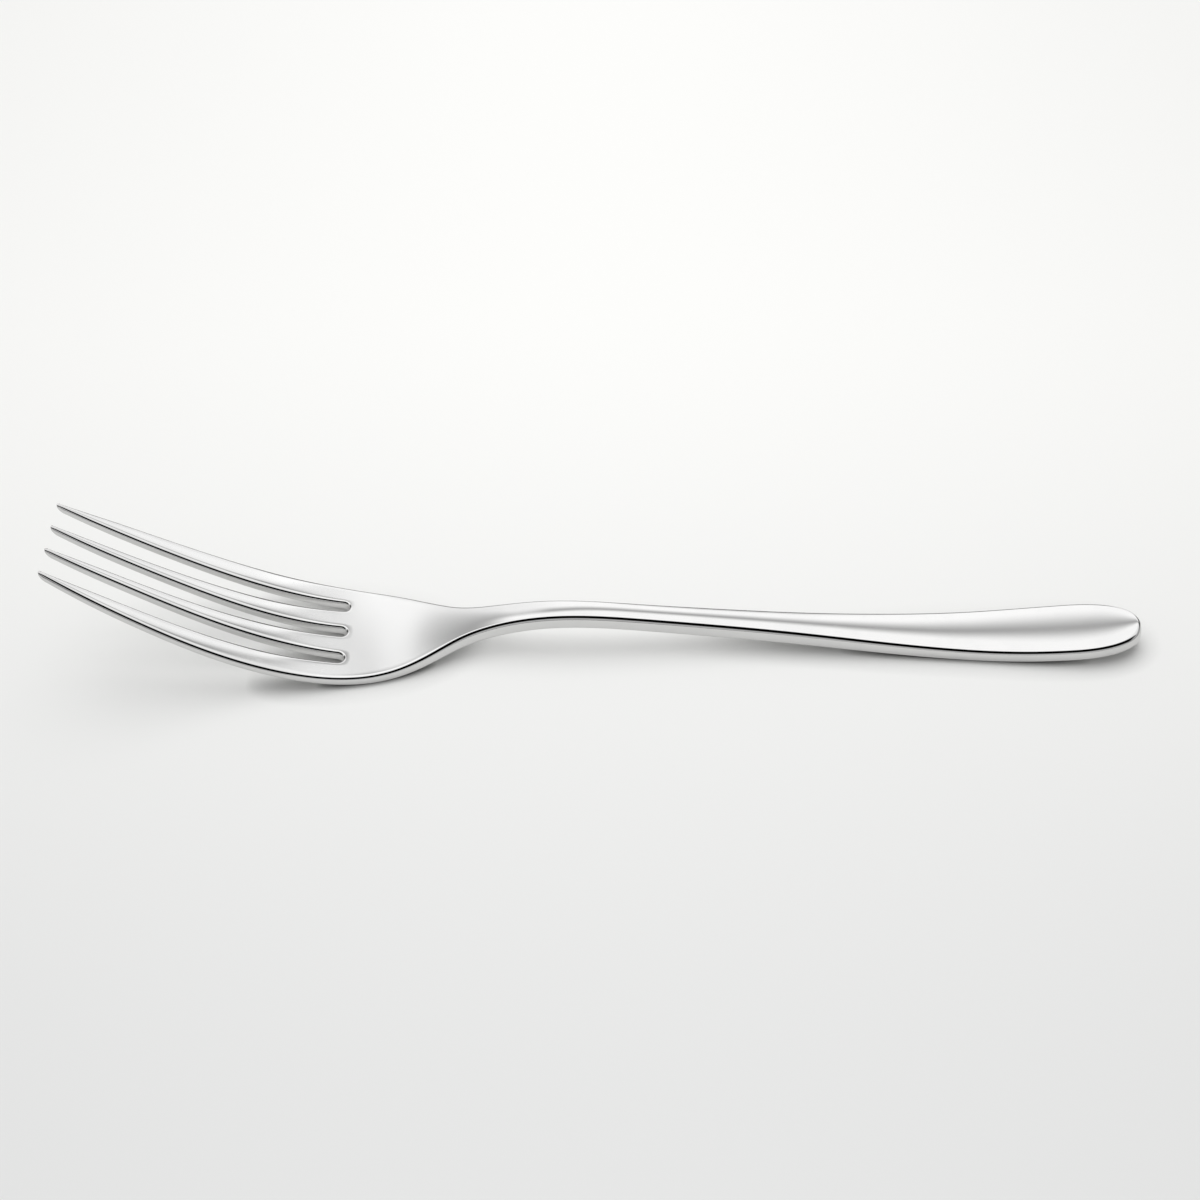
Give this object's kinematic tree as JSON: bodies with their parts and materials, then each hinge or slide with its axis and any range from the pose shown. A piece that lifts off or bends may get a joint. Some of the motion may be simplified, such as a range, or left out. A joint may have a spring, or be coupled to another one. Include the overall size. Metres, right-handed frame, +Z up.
{
  "type": "dinner fork",
  "caption": "Dinner fork with four tapering tines, a flat palm that narrows to a slim arched neck, and a crowned handle that widens to a rounded end.",
  "frame": {"origin": "on the table, under the middle of the fork's length and width, with the fork lying front face up", "axes": "+X towards the end of the handle, -X towards the points, +Y across the fork, +Z up from the table"},
  "size_m": [0.2, 0.0258, 0.0259],
  "materials": {
    "steel": "polished stainless steel with very fine polishing lines"
  },
  "bodies": {
    "root": {"tine_left_outer": "steel", "tine_left_inner": "steel", "tine_right_inner": "steel", "tine_right_outer": "steel", "palm": "steel", "shoulder": "steel", "neck": "steel", "handle": "steel"}
  },
  "joints": []
}
